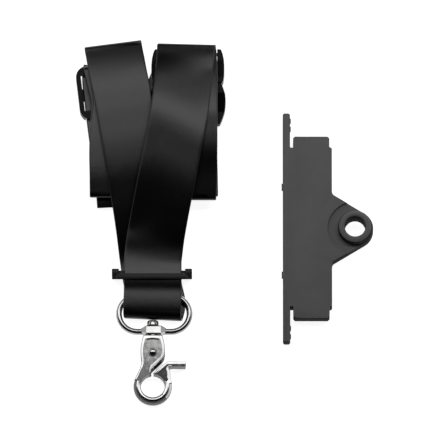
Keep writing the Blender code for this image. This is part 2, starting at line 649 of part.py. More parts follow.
def bracket_body():
    """A shallow open-backed box with a long rail down one side and a lug on the other."""
    body = add_part("bracket_body", prism_mesh(bracket_outline(), 0, BRACKET_HEIGHT), BRACKET_PLASTIC)
    bevel(body, 0.3 * MM, segments=1, angle=60)
    under_face = BRACKET_HEIGHT - FACE_THICKNESS
    inner_x = (RAIL_X[1], PLATE_X[1] - WALL_THICKNESS)
    sure_boolean(body, box_mesh(
        (inner_x[0], -PLATE_HALF + WALL_THICKNESS, -MM), (inner_x[1], PLATE_HALF - WALL_THICKNESS, under_face)))
    sure_boolean(body, box_mesh(
        (TAB_X[0] + WALL_THICKNESS, -TAB_HALF + WALL_THICKNESS, -MM),
        (TAB_X[1] - WALL_THICKNESS, TAB_HALF - WALL_THICKNESS, under_face)))
    sure_boolean(body, box_mesh(
        (PLATE_X[1] + 0.1 * MM, -2 * LUG_ROOT_HALF, -MM), (LUG_X + 2 * LUG_RADIUS, 2 * LUG_ROOT_HALF, LUG_FLOOR)))
    sure_boolean(body, cylinder_mesh(
        (LUG_X, -LUG_DROP, BRACKET_HEIGHT), RECESS_RADIUS, 2 * RECESS_DEPTH, sides=48))
    sure_boolean(body, cylinder_mesh((LUG_X, -LUG_DROP, 0), BUSHING_SLEEVE + 0.15 * MM, 30 * MM, sides=40))
    for y in (19.2, -20.5):
        sure_boolean(body, box_mesh(
            (RAIL_X[0] - 0.5 * MM, (y - 1.3) * MM, 0.6 * MM), (RAIL_X[0] + MM, (y + 1.3) * MM, 3.0 * MM)), "UNION")
    for side in (-1, 1):
        for y in (45.0, 48.7):
            sure_boolean(body, cylinder_mesh(
                (RAIL_X[1] - 0.25 * MM, side * y * MM, BRACKET_HEIGHT / 2), 0.6 * MM,
                BRACKET_HEIGHT - MM, sides=12), "UNION")
    body.location.y = BRACKET_Y
    return body


def lug_bushing():
    """A flanged ring in the lug, which the hook clips through."""
    floor = BRACKET_HEIGHT - RECESS_DEPTH + 0.1 * MM
    profile = [
        (BUSHING_BORE, LUG_FLOOR), (BUSHING_SLEEVE, LUG_FLOOR), (BUSHING_SLEEVE, floor),
        (BUSHING_FLANGE, floor), (BUSHING_FLANGE, BUSHING_TOP - 1.0 * MM),
        (BUSHING_FLANGE - 0.35 * MM, BUSHING_TOP - 0.3 * MM), (BUSHING_FLANGE - 1.1 * MM, BUSHING_TOP),
        (BUSHING_BORE + 0.7 * MM, BUSHING_TOP), (BUSHING_BORE + 0.15 * MM, BUSHING_TOP - 0.35 * MM),
        (BUSHING_BORE, BUSHING_TOP - 1.0 * MM), (BUSHING_BORE, LUG_FLOOR),
    ]
    mesh = turned_mesh(profile, 48)
    mesh.transform(Matrix.Rotation(math.pi / 2, 4, "X"))
    ring = add_part("lug_bushing", mesh, BRACKET_PLASTIC)
    ring.location = (LUG_X, BRACKET_Y - LUG_DROP, 0)
    return ring


# ---------------------------------------------------------------- assembly

def middle_of(objects):
    """The middle, in X and Y, of the box round the evaluated objects."""
    bpy.context.view_layer.update()
    graph = bpy.context.evaluated_depsgraph_get()
    corners = []
    for item in objects:
        shown = item.evaluated_get(graph)
        corners += [shown.matrix_world @ vertex.co for vertex in shown.data.vertices]
    xs, ys = [c.x for c in corners], [c.y for c in corners]
    return Vector(((min(xs) + max(xs)) / 2, (min(ys) + max(ys)) / 2, 0.0))


def build():
    parts = [
        neck_webbing(), strap_keeper(), tri_glide(), buckle_female(), buckle_male(),
        swivel_loop(), swivel_rivet(), hook_body(), trigger(), trigger_rivet(), trigger_spring(),
        bracket_body(), lug_bushing(),
    ]
    # the row's origin is under the middle of the whole layout
    shift = middle_of(parts)
    print("layout middle, mm:", round(shift.x / MM, 3), round(shift.y / MM, 3))
    for item in parts:
        item.matrix_world = Matrix.Translation(-shift) @ item.matrix_world


build()
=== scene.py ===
"""Looks for the neck lanyard and its bracket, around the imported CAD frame. Metres, +Z up."""

import json
import math

import bmesh
import bpy
from mathutils import Matrix, Vector


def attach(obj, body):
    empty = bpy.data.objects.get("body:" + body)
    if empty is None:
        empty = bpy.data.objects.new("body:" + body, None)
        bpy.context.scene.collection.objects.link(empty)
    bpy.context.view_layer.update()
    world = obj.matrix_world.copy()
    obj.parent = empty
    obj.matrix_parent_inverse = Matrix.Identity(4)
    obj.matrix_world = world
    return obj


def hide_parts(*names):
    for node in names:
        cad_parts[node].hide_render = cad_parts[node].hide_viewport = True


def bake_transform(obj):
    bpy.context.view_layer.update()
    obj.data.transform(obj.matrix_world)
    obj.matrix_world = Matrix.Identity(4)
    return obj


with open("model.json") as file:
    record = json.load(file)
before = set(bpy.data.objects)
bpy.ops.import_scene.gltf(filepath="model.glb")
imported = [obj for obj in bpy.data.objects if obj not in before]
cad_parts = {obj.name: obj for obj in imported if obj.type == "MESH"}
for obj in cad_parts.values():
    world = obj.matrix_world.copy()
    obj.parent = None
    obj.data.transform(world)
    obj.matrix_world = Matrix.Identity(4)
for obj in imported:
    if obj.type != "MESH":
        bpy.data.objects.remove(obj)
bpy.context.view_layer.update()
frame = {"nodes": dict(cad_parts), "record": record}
NODES = frame["nodes"]

MM = 0.001
LAYOUT_MIDDLE = Vector((0.052, -0.804, 0.0))  # the CAD layout's middle, in its own millimetres
WEBBING_WIDTH = 25.0 * MM
WEBBING_THICKNESS = 1.0 * MM

CAMERA_ELEVATION = math.radians(74)
CAMERA_TARGET = Vector((-0.184, 0.579, 0.0)) * MM
PICTURE_WIDTH = 194.8 * MM  # of the plane through the target
CAMERA_LENS = 1200.0  # far off, so that the picture has hardly any perspective
CAMERA_SENSOR = 36.0


def at(x, y, z):
    """A point of the CAD layout, in millimetres, as a point of the frame."""
    return (Vector((x, y, z)) - LAYOUT_MIDDLE) * MM


# ---------------------------------------------------------------- node helpers

class Look:
    """A material under construction: its nodes and links, with a few short cuts."""

    def __init__(self, name, **sockets):
        self.material = bpy.data.materials.new(name)
        self.material.use_nodes = True
        self.tree = self.material.node_tree
        self.shader = self.tree.nodes["Principled BSDF"]
        for key, value in sockets.items():
            self.shader.inputs[key.replace("_", " ")].default_value = value

    def node(self, kind, **settings):
        made = self.tree.nodes.new("ShaderNode" + kind)
        for key, value in settings.items():
            if key in made.inputs.keys():
                made.inputs[key].default_value = value
            elif key.replace("_", " ") in made.inputs.keys():
                made.inputs[key.replace("_", " ")].default_value = value
            else:
                setattr(made, key, value)
        return made

    def link(self, source, target):
        self.tree.links.new(source, target)

    def maths(self, operation, a, b):
        made = self.node("Math", operation=operation)
        for socket, value in zip(made.inputs, (a, b)):
            if isinstance(value, (int, float)):
                socket.default_value = value
            else:
                self.link(value, socket)
        return made.outputs[0]

    def object_place(self):
        return self.node("TexCoord").outputs["Object"]

    def noise(self, place, scale, detail=2.0, roughness=0.5):
        made = self.node("TexNoise", Scale=scale, Detail=detail, Roughness=roughness)
        self.link(place, made.inputs["Vector"])
        return made.outputs["Fac"]

    def ramp(self, factor, *stops):
        made = self.node("ValToRGB")
        band = made.color_ramp
        for element, (position, shade) in zip(band.elements, (stops[0], stops[-1])):
            element.position = position
            element.color = (*shade, 1.0)
        for position, shade in stops[1:-1]:
            band.elements.new(position).color = (*shade, 1.0)
        self.link(factor, made.inputs["Fac"])
        return made.outputs["Color"]

    def spread(self, factor, low, high):
        made = self.node("MapRange")
        self.link(factor, made.inputs["Value"])
        made.inputs["To Min"].default_value = low
        made.inputs["To Max"].default_value = high
        return made.outputs["Result"]

    def bump(self, height, strength, distance, below=None):
        made = self.node("Bump", Strength=strength, Distance=distance)
        self.link(height, made.inputs["Height"])
        if below is not None:
            self.link(below, made.inputs["Normal"])
        return made.outputs["Normal"]

    def finish(self, colour=None, roughness=None, normal=None):
        for name, socket in (("Base Color", colour), ("Roughness", roughness), ("Normal", normal)):
            if socket is not None:
                self.link(socket, self.shader.inputs[name])
        return self.material


# ---------------------------------------------------------------- materials

WARP_THREADS = 84  # across the strap's width
TWILL_ACROSS, TWILL_ALONG = 42, 46  # diagonal ribs in one strap width
HOOK_SHADE_MIDDLE_Y = 0.0135  # metres from the ring's centre, where the painted shade leaves the cast faces at their middle tone
HOOK_SHADE_SLOPE = 22.0  # painted shade: how fast the cast faces lighten towards the rivet, per metre


def grey(level, blue=0.0):
    """A colour with even red and green, and with a little more or less blue."""
    return (level, level, level + blue)


def webbing_look():
    """Black satin webbing: fine warp threads along the strap, which spread the light across it."""
    look = Look("webbing_satin", Anisotropic=0.8, Specular_IOR_Level=0.5, Roughness=0.28)
    uv = look.node("UVMap", uv_map="weave").outputs["UV"]
    parts = look.node("SeparateXYZ")
    look.link(uv, parts.inputs[0])
    across, along = parts.outputs["X"], parts.outputs["Y"]
    threads = look.maths("SINE", look.maths("MULTIPLY", across, 2 * math.pi * WARP_THREADS), 0.0)
    diagonal = look.maths("ADD", look.maths("MULTIPLY", across, 2 * math.pi * TWILL_ACROSS),
                          look.maths("MULTIPLY", along, 2 * math.pi * TWILL_ALONG))
    twill = look.maths("SINE", diagonal, 0.0)
    weave = look.maths("ADD", look.maths("MULTIPLY", threads, 0.5), look.maths("MULTIPLY", twill, 0.35))
    cloudy = look.noise(look.object_place(), 160.0, 4.0)
    colour = look.ramp(cloudy, (0.3, grey(0.0014, 0.0001)), (0.75, grey(0.0026, 0.0001)))
    grain = look.noise(look.object_place(), 1900.0, 2.0, 0.6)
    roughness = look.spread(grain, 0.255, 0.32)
    normal = look.bump(grain, 0.06, 0.00005, below=look.bump(weave, 0.15, 0.00006))
    tangent = look.node("Tangent", direction_type="UV_MAP", uv_map="weave")
    look.link(tangent.outputs[0], look.shader.inputs["Tangent"])
    return look.finish(colour, roughness, normal)


def black_plastic_look(name, dark, light, shine):
    """Black moulded nylon between two tones, with a fine grain."""
    look = Look(name, Specular_IOR_Level=shine)
    place = look.object_place()
    fine = look.noise(place, 2600.0, 2.0)
    broad = look.noise(place, 120.0, 3.0)
    colour = look.ramp(broad, (0.3, grey(dark)), (0.7, grey(light)))
    return look.finish(colour, look.spread(broad, 0.33, 0.46), look.bump(fine, 0.12, 0.00005))


def black_wall_shade_look():
    """The same plastic on the walls, with no reflection so that they stay dark: painted shade."""
    look = Look("black_plastic_walls_painted_shade", Specular_IOR_Level=0.0)
    broad = look.noise(look.object_place(), 120.0, 3.0)
    colour = look.ramp(broad, (0.3, grey(0.017, 0.0003)), (0.7, grey(0.026, 0.0003)))
    return look.finish(colour, look.spread(broad, 0.6, 0.7))


def bracket_look():
    """Dark grey moulded nylon with a fine eroded grain."""
    look = Look("bracket_plastic", Specular_IOR_Level=0.3)
    place = look.object_place()
    grain = look.noise(place, 3200.0, 3.0, 0.6)
    broad = look.noise(place, 90.0, 4.0)
    colour = look.ramp(broad, (0.3, grey(0.166, 0.001)), (0.7, grey(0.19, 0.001)))
    return look.finish(colour, look.spread(broad, 0.5, 0.62), look.bump(grain, 0.3, 0.00006))


def bracket_wall_shade_look():
    """The same nylon on the walls, plain, much darker and nearly without reflection: painted shade."""
    look = Look("bracket_walls_painted_shade", Specular_IOR_Level=0.05)
    place = look.object_place()
    broad = look.noise(place, 90.0, 4.0)
    colour = look.ramp(broad, (0.3, grey(0.016, 0.0005)), (0.7, grey(0.022, 0.0005)))
    return look.finish(colour, look.spread(broad, 0.7, 0.8))


def nickel_look():
    """Bright nickel plate, a little cloudy."""
    look = Look("bright_nickel", Metallic=1.0)
    place = look.object_place()
    broad = look.noise(place, 300.0, 3.0)
    fine = look.noise(place, 1500.0, 2.0)
    colour = look.ramp(broad, (0.3, grey(0.4, -0.003)), (0.7, grey(0.49, -0.004)))
    return look.finish(colour, look.spread(fine, 0.1, 0.2), look.bump(broad, 0.05, 0.0001))


def cast_nickel_look(name, dark, light):
    """The same plate over the hook's sunk faces, which keep the casting's grain, with painted shade that
    lightens them towards the rivet.
    """
    look = Look(name, Metallic=1.0)
    place = look.object_place()
    fine = look.noise(place, 2400.0, 4.0, 0.65)
    parts = look.node("SeparateXYZ")
    look.link(place, parts.inputs[0])
    # painted shade: the tone rises along Y, towards the rivet
    from_middle = look.maths("SUBTRACT", parts.outputs["Y"], HOOK_SHADE_MIDDLE_Y)
    painted_shade = look.maths("MULTIPLY", from_middle, HOOK_SHADE_SLOPE)
    broad = look.maths("ADD", look.noise(place, 700.0, 4.0, 0.7), painted_shade)
    colour = look.ramp(broad, (0.34, grey(dark)), (0.68, grey(light, -light * 0.01)))
    return look.finish(colour, look.spread(fine, 0.36, 0.52), look.bump(fine, 0.35, 0.00008))


def nickel_wall_shade_look():
    """The plate on the casting's side walls and other steep faces, much darker: painted shade."""
    look = Look("nickel_walls_painted_shade", Metallic=1.0)
    fine = look.noise(look.object_place(), 1800.0, 3.0)
    colour = look.ramp(fine, (0.3, grey(0.09)), (0.75, grey(0.16)))
    return look.finish(colour, look.spread(fine, 0.3, 0.45))


def spring_look():
    """Plain drawn steel wire."""
    look = Look("spring_wire", Metallic=1.0)
    fine = look.noise(look.object_place(), 1800.0, 2.0)
    colour = look.ramp(fine, (0.3, grey(0.42, 0.01)), (0.7, grey(0.56, 0.01)))
    return look.finish(colour, look.spread(fine, 0.24, 0.36))


def floor_look():
    look = Look("floor", Roughness=0.9, Specular_IOR_Level=0.0)
    look.shader.inputs["Base Color"].default_value = (0.9, 0.9, 0.9, 1.0)
    look.shader.inputs["Emission Color"].default_value = (1.0, 1.0, 1.0, 1.0)
    look.shader.inputs["Emission Strength"].default_value = 0.9
    return look.material


LOOKS = {
    "webbing": webbing_look(),
    "black_plastic": black_plastic_look("black_plastic", 0.0035, 0.006, 0.12),
    "bracket_plastic": bracket_look(),
    "nickel": nickel_look(),
    "spring_steel": spring_look(),
}
CAST_NICKEL = cast_nickel_look("cast_nickel", 0.2, 0.56)
# painted shade: a darker copy of the cast plate, for the gate's sunk face
GATE_SHADED_CAST_NICKEL = cast_nickel_look("cast_nickel_gate_painted_shade", 0.1, 0.3)
# painted shade: darker and duller copies of the materials, for the steep walls
BRACKET_WALL_SHADE = bracket_wall_shade_look()
NICKEL_WALL_SHADE = nickel_wall_shade_look()
BLACK_WALL_SHADE = black_wall_shade_look()
KEEPER_PLASTIC = black_plastic_look("keeper_plastic", 0.015, 0.022, 0.22)


def dress_node(node, look):
    """Gives a CAD node its finished material in every slot."""
    for slot in NODES[node].material_slots:
        slot.material = LOOKS[look]


for part in frame["record"]["subparts"]:
    dress_node(part["node"], part["material_slot"])


# ---------------------------------------------------------------- webbing

def direction(lean_degrees):
    """A unit vector in the XY plane: 0 points along +Y, and positive leans to -X."""
    a = math.radians(lean_degrees)
    return Vector((-math.sin(a), math.cos(a), 0.0))


def smooth_run(points, step=1.4 * MM):
    """Points about a step apart on a smooth curve through the run's own points."""
    places = [at(*p) for p in points]
    if len(places) < 3:
        length = (places[-1] - places[0]).length
        steps = max(1, round(length / step))
        return [places[0].lerp(places[-1], i / steps) for i in range(steps + 1)]
    slopes = []
    for i, place in enumerate(places):
        if i == 0:
            slopes.append((places[1] - place).normalized())
        elif i == len(places) - 1:
            slopes.append((place - places[i - 1]).normalized())
        else:
            before, after = place - places[i - 1], places[i + 1] - place
            share = before.length / (before.length + after.length)
            slopes.append((before.normalized() * (1 - share) + after.normalized() * share).normalized())
    found = [places[0]]
    for a, b, m, n in zip(places, places[1:], slopes, slopes[1:]):
        length = (b - a).length
        steps = max(1, round(length / step))
        for i in range(1, steps + 1):
            t = i / steps
            found.append(
                a * (2 * t**3 - 3 * t**2 + 1) + m * length * (t**3 - 2 * t**2 + t)
                + b * (3 * t**2 - 2 * t**3) + n * length * (t**3 - t**2))
    return found


def fold(start, end, outward, steps=14):
    """Places round a fold between two layers that lie one above the other."""
    radius = abs(end.z - start.z) / 2
    found = []
    for i in range(1, steps):
        angle = math.pi * i / steps
        place = start.lerp(end, (1 - math.cos(angle)) / 2)
        found.append((place + outward * radius * math.sin(angle), outward))
    return found


# half of the strap's upper face, from its middle to its edge: (share of half width, of half thickness)
SECTION = ((0.0, 1.0), (0.18, 1.0), (0.36, 1.0), (0.54, 1.0), (0.72, 1.0), (0.88, 1.0), (0.955, 0.98),
           (0.978, 0.86), (0.992, 0.62), (1.0, 0.25))


CREST_SKEW = math.tan(math.radians(17))  # the right leg's crest runs askew across the strap
CREST_FOOT, CREST_HEAD = at(0, -12, 0).y, at(0, 62, 0).y  # the stretch where the skew applies in full
CREST_FADE = 12 * MM
CREST_SINK = 0.25 * MM  # the most that an edge goes down by
LEVEL_STATIONS = 3  # at the leg's end, so that the fold starts level


def crest_share(y):
    """How far the crest's skew applies at y: fully on the humped part, and fading out at both ends."""
    rising = max(0.0, (y - CREST_FOOT) / CREST_FADE)
    falling = max(0.0, (CREST_HEAD + CREST_FADE - y) / CREST_FADE)
    share = min(1.0, rising, falling)
    return share * share * (3 - 2 * share)


def value_along(pairs, y):
    """The value at y on the straight lines between (y, value) pairs, which have y rising."""
    for (y0, value0), (y1, value1) in zip(pairs, pairs[1:]):
        if y <= y1:
            return value0 + (value1 - value0) * max(0.0, y - y0) / (y1 - y0)
    return pairs[-1][1]


def leg(middle, heights):
    """A front leg's points: its middle line gives the x of each height, to 0.01 mm."""
    return [(round(value_along(middle, y), 2), y, z) for y, z in heights]


def strap_mesh(name, runs, folds, crested=None):
    """A strap of even width along runs of points joined by folds, with a UV map in strap widths.

    The crested run is the one whose humps lie askew across the strap.
    """
    stations, skewed, profile = [], set(), []
    for i, run in enumerate(runs):
        places = smooth_run(run)
        if run is crested:
            profile = [(p.y, p.z) for p in places]
            skewed = {len(stations) + n for n in range(len(places) - LEVEL_STATIONS)}
        stations += [(p, None) for p in places]
        if i < len(folds):
            stations += fold(places[-1], at(*runs[i + 1][0]), folds[i])
    places = [p for p, _ in stations]
    right = [(-u, t) for u, t in reversed(SECTION[1:])] + list(SECTION)
    top = [(u, t / 2) for u, t in right]
    loop = top + [(u, -t) for u, t in reversed(top)]
    bm = bmesh.new()
    uv = bm.loops.layers.uv.new("weave")
    rings, travelled, last_across = [], 0.0, None
    for i, (place, outward) in enumerate(stations):
        along = places[min(i + 1, len(places) - 1)] - places[max(i - 1, 0)]
        if i:
            travelled += (place - places[i - 1]).length
        heading = outward if outward is not None else Vector((along.x, along.y, 0.0)).normalized()
        across = Vector((heading.y, -heading.x, 0.0))
        if last_across is not None and across.dot(last_across) < 0:
            across.negate()
        last_across = across
        normal = across.cross(along).normalized() * WEBBING_THICKNESS
        verts = [bm.verts.new(place + across * u * WEBBING_WIDTH / 2 + normal * t) for u, t in loop]
        if i in skewed:
            for vert in verts:
                shift = (vert.co.x - place.x) * CREST_SKEW * crest_share(place.y)
                vert.co.z += max(-CREST_SINK, value_along(profile, place.y + shift) - place.z)
        rings.append((verts, travelled / WEBBING_WIDTH))
    count = len(loop)
    for (near, v0), (far, v1) in zip(rings, rings[1:]):
        for a in range(count):
            b = (a + 1) % count
            face = bm.faces.new((near[a], near[b], far[b], far[a]))
            u0, u1 = loop[a][0] / 2 + 0.5, loop[b][0] / 2 + 0.5
            for corner, value in zip(face.loops, ((u0, v0), (u1, v0), (u1, v1), (u0, v1))):
                corner[uv].uv = value
    bm.faces.new(rings[0][0])
    bm.faces.new(rings[-1][0])
    bmesh.ops.recalc_face_normals(bm, faces=bm.faces)
    mesh = bpy.data.meshes.new(name)
    bm.to_mesh(mesh)
    bm.free()
    mesh.shade_smooth()
    mesh.set_sharp_from_angle(angle=math.radians(70))
    made = bpy.data.objects.new(name, mesh)
    bpy.context.scene.collection.objects.link(made)
    made.data.materials.append(LOOKS["webbing"])
    return made, travelled


# the middle line of each run of the strap, from its end in the buckle's female half to the sewn tail
TAIL_IN_SLOT = [(-15.9, 73.9, 3.5), (-15.9, 74.5, 4.75), (-15.9, 75.5, 4.95)]
UNDER_ALL = [(-15.9, 75.5, 0.5), (-17.5, 71.0, 0.5), (-29.6, 40.0, 0.5), (-41.6, 10.0, 0.5),
             (-42.8, 7.2, 0.5)]
LEFT_UP = [(-42.8, 7.2, 1.6), (-43.0, 10.0, 2.0), (-44.5, 24.0, 2.9), (-45.65, 32.0, 3.5),
           (-48.7, 57.6, 3.5), (-49.4, 66.4, 3.5), (-48.9, 69.4, 3.5)]
LEFT_BACK = [(-48.9, 69.4, 6.4), (-47.8, 64.5, 6.4), (-45.7, 54.0, 6.4), (-45.9, 44.0, 6.3),
             (-46.3, 30.0, 5.95), (-46.1, 20.0, 5.3), (-46.0, 11.4, 4.4)]
LEFT_AGAIN = [(-46.0, 11.4, 5.6), (-46.1, 20.0, 6.5), (-46.2, 30.0, 7.1), (-45.8, 42.0, 7.5),
              (-44.7, 52.0, 7.6), (-45.7, 62.0, 7.6), (-47.2, 71.5, 7.5), (-48.4, 77.9, 6.0)]
# the front legs: the middle line's (y, x) points, and (y, z) heights along it
LEFT_MIDDLE = ((-16.0, -33.0), (-5.0, -34.4), (6.0, -36.0), (16.0, -37.6), (28.0, -39.6), (40.0, -41.6),
               (57.0, -44.6), (70.5, -47.2), (77.9, -48.4))
LEFT_HEIGHTS = ((77.9, 8.2), (72.3, 9.0), (68.4, 9.45), (64.7, 9.76), (61.0, 9.94), (57.4, 9.97),
                (53.8, 9.92), (50.1, 9.86), (46.5, 9.75), (42.9, 9.62), (39.3, 9.49), (35.7, 9.33),
                (32.1, 9.12), (28.6, 8.88), (25.1, 8.6), (21.7, 8.27), (18.2, 7.84), (14.8, 7.36),
                (11.5, 6.9), (6.0, 6.1), (-5.0, 4.2), (-16.0, 2.1))
LEFT_LEG = leg(LEFT_MIDDLE, LEFT_HEIGHTS) + [
    (-31.7, -24.5, 2.0), (-30.9, -28.6, 1.9), (-30.6, -30.4, 1.4), (-30.3, -31.7, 0.62),
    (-29.3, -36.5, 0.62), (-30.5, -41.4, 0.62)]
RIGHT_MIDDLE = ((-18.25, -31.0), (-8.0, -29.8), (4.0, -27.6), (14.0, -25.6), (28.0, -23.0), (40.0, -20.7),
                (48.0, -19.4), (56.0, -18.5), (64.0, -17.7), (71.0, -17.0), (77.2, -16.8))
RIGHT_HEIGHTS = ((-18.25, 6.2), (-13.8, 6.5), (-9.4, 7.05), (-5.0, 7.77), (-0.7, 8.58), (3.6, 9.43),
                 (7.8, 10.27), (12.2, 11.1), (16.5, 11.83), (20.8, 12.43), (25.1, 12.9), (29.5, 13.3),
                 (33.9, 13.7), (38.3, 14.08), (42.8, 14.33), (47.3, 14.3), (51.9, 13.98), (56.5, 13.5),
                 (61.2, 12.95), (65.9, 12.38), (70.6, 11.75), (77.2, 10.8))
RIGHT_LEG = [
    (-31.35, -41.4, 5.3), (-31.33, -40.4, 5.45), (-31.3, -39.0, 5.58), (-31.25, -37.0, 5.7),
    (-31.2, -35.0, 5.77), (-31.1, -32.6, 5.8), (-31.08, -31.0, 5.85), (-31.05, -28.6, 6.15),
    (-31.0, -26.8, 6.32), (-31.0, -24.0, 6.25)] + leg(RIGHT_MIDDLE, RIGHT_HEIGHTS)
RIGHT_BACK = [(-16.2, 77.2, 9.45), (-15.7, 71.0, 10.35), (-15.5, 64.0, 11.35), (-15.5, 56.0, 12.2),
              (-15.5, 48.0, 12.6), (-15.5, 42.0, 12.3), (-15.5, 30.0, 11.3), (-15.5, 20.0, 9.7),
              (-16.0, 10.0, 8.3)]
RIGHT_UP = [(-16.0, 10.0, 6.2), (-16.0, 20.0, 7.3), (-15.5, 30.0, 9.3), (-15.5, 42.0, 10.8),
            (-15.5, 48.0, 11.2), (-15.5, 56.0, 10.9), (-15.5, 64.0, 10.1), (-15.7, 71.0, 8.95),
            (-16.1, 76.0, 7.9)]
RIGHT_DOWN = [(-16.1, 76.0, 6.55), (-15.7, 71.5, 7.4), (-15.5, 64.5, 8.85), (-15.5, 48.0, 9.0),
              (-15.5, 42.0, 8.9), (-15.6, 32.0, 6.5), (-15.4, 20.0, 4.0), (-15.2, 12.6, 3.35)]
INTO_PLUG = [(-15.2, 12.6, 2.0), (-15.3, 20.0, 1.95), (-15.8, 38.0, 1.7), (-15.9, 45.1, 1.7)]
TAIL = [(-15.9, 45.1, 4.95), (-15.9, 41.0, 4.6), (-15.9, 34.0, 3.4)]


def webbing():
    main_runs = [TAIL_IN_SLOT, UNDER_ALL, LEFT_UP, LEFT_BACK, LEFT_AGAIN, LEFT_LEG, RIGHT_LEG, RIGHT_BACK,
                 RIGHT_UP, RIGHT_DOWN]
    main_folds = [direction(lean) for lean in (0, 173, 8, 180, 7.6, 177, -1.6, 180, 0)]
    strap, length = strap_mesh("strap_webbing", main_runs, main_folds, crested=RIGHT_LEG)
    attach(strap, "strap")
    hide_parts("neck_webbing")
    end_runs = [RIGHT_DOWN[-1:], INTO_PLUG, TAIL]
    tail, tail_length = strap_mesh("strap_end_webbing", end_runs, [direction(180), direction(0)])
    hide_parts("neck_webbing")
    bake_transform(tail)


webbing()


# ---------------------------------------------------------------- solids

def mesh_from(bm, index=0):
    """A mesh from bmesh, with every face in one material slot."""
    bmesh.ops.recalc_face_normals(bm, faces=bm.faces)
    for face in bm.faces:
        face.material_index = index
    made = bpy.data.meshes.new("solid")
    bm.to_mesh(made)
    bm.free()
    return made


def prism(outline, low, high, index=0, slope=0.0):
    """An outline made into a solid between two heights. The lower face can slope along Y."""
    bm = bmesh.new()
    base = bm.faces.new([bm.verts.new((x * MM, y * MM, low * MM)) for x, y in outline])
    lifted = bmesh.ops.extrude_face_region(bm, geom=[base])["geom"]
    up = (high - low) * MM
    bmesh.ops.translate(bm, vec=(0, 0, up), verts=[v for v in lifted if isinstance(v, bmesh.types.BMVert)])
    middle = sum(y for _, y in outline) / len(outline)
    for vert in bm.verts:
        if vert.co.z < (low + high) / 2 * MM:
            vert.co.z += slope * (vert.co.y - middle * MM)
    return mesh_from(bm, index)


def box(low, high):
    (x0, y0, z0), (x1, y1, z1) = low, high
    return prism([(x0, y0), (x1, y0), (x1, y1), (x0, y1)], z0, z1)


def cylinder(centre, radius, length, axis="Z", sides=48, index=0):
    bm = bmesh.new()
    bmesh.ops.create_cone(bm, cap_ends=True, segments=sides, depth=length * MM,
                          radius1=radius * MM, radius2=radius * MM)
    if axis == "Y":
        bmesh.ops.rotate(bm, matrix=Matrix.Rotation(-math.pi / 2, 3, "X"), verts=bm.verts)
    bmesh.ops.translate(bm, vec=Vector(centre) * MM, verts=bm.verts)
    return mesh_from(bm, index)


def turned(profile, axis="Y", steps=48):
    """A solid of revolution from (radius, distance) points, both ends on the axis."""
    bm = bmesh.new()
    rings = []
    for radius, distance in profile:
        count = steps if radius > 0 else 1
        ring = []
        for i in range(count):
            a = 2 * math.pi * i / steps
            u, v = radius * math.cos(a), radius * math.sin(a)
            place = {"Y": (u, distance, v), "Z": (u, v, distance)}[axis]
            ring.append(bm.verts.new(Vector(place) * MM))
        rings.append(ring)
    for near, far in zip(rings, rings[1:]):
        for i in range(steps):
            j = (i + 1) % steps
            corners = [near[i % len(near)], near[j % len(near)], far[j % len(far)], far[i % len(far)]]
            bm.faces.new(list(dict.fromkeys(corners)))
    return mesh_from(bm)


def swept(stations, closed=False):
    """A solid through rings of points that all have the same count."""
    bm = bmesh.new()
    rings = [[bm.verts.new(Vector(p) * MM) for p in ring] for ring in stations]
    pairs = list(zip(rings, rings[1:])) + ([(rings[-1], rings[0])] if closed else [])
    for near, far in pairs:
        for i in range(len(near)):
            j = (i + 1) % len(near)
            bm.faces.new((near[i], near[j], far[j], far[i]))
    if not closed:
        bm.faces.new(rings[0])
        bm.faces.new(rings[-1])
    return mesh_from(bm)


def arc(centre, radius, start, end, steps):
    """Points on an arc, from one angle to another in degrees."""
    angles = [math.radians(start + (end - start) * i / steps) for i in range(steps + 1)]
    return [(centre[0] + radius * math.cos(a), centre[1] + radius * math.sin(a)) for a in angles]


class Solid:
    """A piece shaped step by step with bevels and booleans, about its own origin."""

    def __init__(self, name, mesh, materials):
        self.item = bpy.data.objects.new(name, mesh)
        self.materials = materials
        bpy.context.scene.collection.objects.link(self.item)
        self.dress(mesh)

    def dress(self, mesh):
        if not mesh.materials:
            for look in self.materials:
                mesh.materials.append(look)

    def settle(self):
        """Makes the modifiers part of the mesh."""
        bpy.context.view_layer.update()
        shown = self.item.evaluated_get(bpy.context.evaluated_depsgraph_get())
        mesh = bpy.data.meshes.new_from_object(shown)
        self.item.modifiers.clear()
        self.item.data = mesh
        return self

    def bevel(self, width, segments=3, angle=40):
        modifier = self.item.modifiers.new("bevel", "BEVEL")
        modifier.width, modifier.segments = width * MM, segments
        modifier.limit_method, modifier.angle_limit = "ANGLE", math.radians(angle)
        return self.settle()

    def combine(self, mesh, operation):
        self.dress(mesh)
        other = bpy.data.objects.new("other", mesh)
        bpy.context.scene.collection.objects.link(other)
        modifier = self.item.modifiers.new("combine", "BOOLEAN")
        modifier.operation, modifier.solver, modifier.object = operation, "MANIFOLD", other
        self.settle()
        bpy.data.objects.remove(other)
        return self

    def cut(self, *meshes):
        for mesh in meshes:
            self.combine(mesh, "DIFFERENCE")
        return self

    def join(self, *meshes):
        for mesh in meshes:
            self.combine(mesh, "UNION")
        return self

    def paint_wall_shade(self, steep, index):
        """Paints shade on the faces whose normal has a Z under the given one: they get the darker wall
        material of that index.
        """
        for polygon in self.item.data.polygons:
            if abs(polygon.normal.z) < steep and polygon.material_index == 0:
                polygon.material_index = index
        return self

    def place(self, node, body, slot, origin, smooth=35):
        """Puts the finished piece where its CAD node is, to ride that node's body."""
        mesh = self.item.data
        mesh.shade_smooth()
        mesh.set_sharp_from_angle(angle=math.radians(smooth))
        self.item.location = at(*origin)
        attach(self.item, body)
        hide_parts(node)
        return self.item


# ---------------------------------------------------------------- swivel hook

NICKEL_SET = (LOOKS["nickel"], CAST_NICKEL, NICKEL_WALL_SHADE)
LANYARD_X = -31.0
HOOK_HALF = 2.7  # of its thickness, and the height of its middle plane
RING_CENTRE = (LANYARD_X, -74.4, HOOK_HALF)
RING_OUTER, RING_INNER = 8.35, 5.2
PIVOT = (0.0, 15.0)  # from the ring's centre
LOOP_Y = -41.55
BARREL_Y = -49.3

